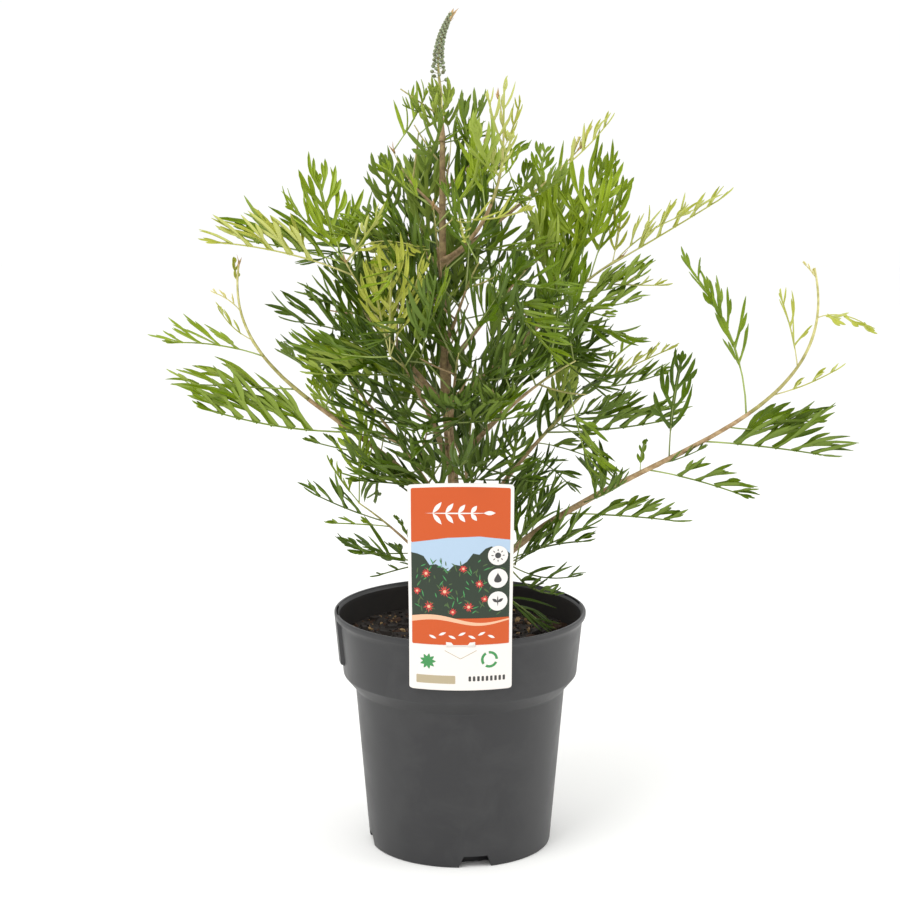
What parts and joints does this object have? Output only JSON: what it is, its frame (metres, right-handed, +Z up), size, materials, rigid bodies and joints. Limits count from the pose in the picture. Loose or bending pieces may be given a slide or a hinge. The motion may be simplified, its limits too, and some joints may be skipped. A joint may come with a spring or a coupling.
{
  "type": "potted grevillea shrub",
  "caption": "Young grevillea shrub with ferny leaves and a flower spike in bud, in a round grey nursery pot with a plant label hooked on its rim.",
  "frame": {"origin": "middle of the pot's flat underside, on the surface that the pot stands on", "axes": "+Z up the trunk, +X to the right of the shrub's front, -Y towards its front, where the label hangs"},
  "size_m": [0.5565, 0.2935, 0.6573],
  "materials": {
    "pot": "satin, slightly grained",
    "growing_mix": "rough, damp composted bark",
    "label": "smooth printed card",
    "bark": "matte bark",
    "foliage": "leathery leaf with a soft sheen"
  },
  "bodies": {
    "root": {"bough_back_high": "bark", "bough_back_left_low": "bark", "bough_back_low": "bark", "bough_back_mid": "bark", "bough_back_right": "bark", "bough_front_left": "bark", "bough_front_low": "bark", "bough_front_mid": "bark", "bough_front_right": "bark", "bough_left_back": "bark", "bough_left_low": "bark", "bough_left_mid": "bark", "bough_left_rim": "bark", "bough_right_back": "bark", "bough_right_front": "bark", "bough_right_high": "bark", "bough_right_low": "bark", "bough_right_mid": "bark", "bough_right_top": "bark", "foliage_back_high": "foliage", "foliage_back_left_low": "foliage", "foliage_back_low": "foliage", "foliage_back_mid": "foliage", "foliage_back_right": "foliage", "foliage_front_left": "foliage", "foliage_front_low": "foliage", "foliage_front_mid": "foliage", "foliage_front_right": "foliage", "foliage_front_top": "foliage", "foliage_leader_tip": "foliage", "foliage_left_back": "foliage", "foliage_left_high": "foliage", "foliage_left_low": "foliage", "foliage_left_mid": "foliage", "foliage_left_rim": "foliage", "foliage_right_back": "foliage", "foliage_right_front": "foliage", "foliage_right_high": "foliage", "foliage_right_low": "foliage", "foliage_right_mid": "foliage", "foliage_right_rim": "foliage", "foliage_right_top": "foliage", "foliage_top_back": "foliage", "foliage_top_left": "foliage", "foliage_top_right": "foliage", "growing_mix": "growing_mix", "label": "label", "pot": "pot", "trunk": "bark"}
  },
  "joints": []
}
